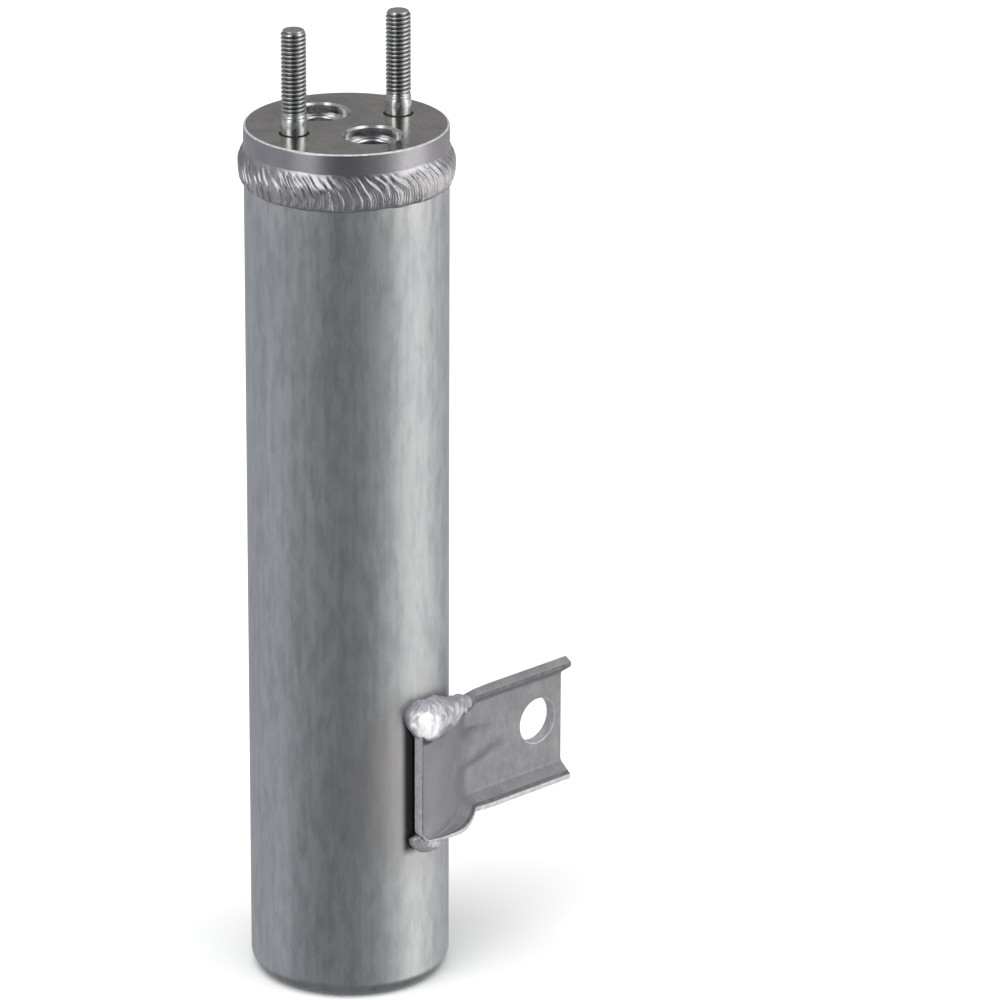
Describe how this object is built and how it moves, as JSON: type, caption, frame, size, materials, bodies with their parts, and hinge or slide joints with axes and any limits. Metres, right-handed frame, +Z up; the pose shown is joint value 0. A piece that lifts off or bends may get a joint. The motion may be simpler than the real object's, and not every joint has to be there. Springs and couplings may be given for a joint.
{
  "type": "receiver drier",
  "caption": "Sealed aluminium receiver drier canister with a welded two-port head, two studs on top and a welded side bracket.",
  "frame": {"origin": "centre of the can's flat base, on the surface that it stands on", "axes": "+Z up the can to the head, +X along the line of the two studs on the side that the bracket's arm points to, +Y towards the blind port"},
  "size_m": [0.0806, 0.0546, 0.2378],
  "materials": {
    "can": "satin, drawn lengthways",
    "head": "face turned bright, side band satin",
    "weld": "rippled, satin",
    "zinc": "bright zinc plate",
    "bracket": "matt sheet",
    "tube": "drawn, smooth",
    "seal": "matt",
    "steel": "pressed, plain",
    "felt": "fibrous",
    "desiccant": "packed beads, drawn as one block",
    "spring": "drawn wire",
    "plastic": "moulded",
    "mesh": "fine mesh, drawn as a sleeve"
  },
  "bodies": {
    "root": {"canister": "can", "head": "head", "head_weld": "weld", "stud_left": "zinc", "stud_right": "zinc", "bracket": "bracket", "bracket_weld_top": "weld", "bracket_weld_bottom": "weld", "pickup_tube": "tube", "tube_seal": "seal", "lower_clip": "steel", "lower_plate": "steel", "lower_pad": "felt", "desiccant_charge": "desiccant", "upper_pad": "felt", "upper_plate": "steel", "retaining_spring": "spring", "strainer_cage": "plastic", "strainer_mesh": "mesh"}
  },
  "joints": []
}
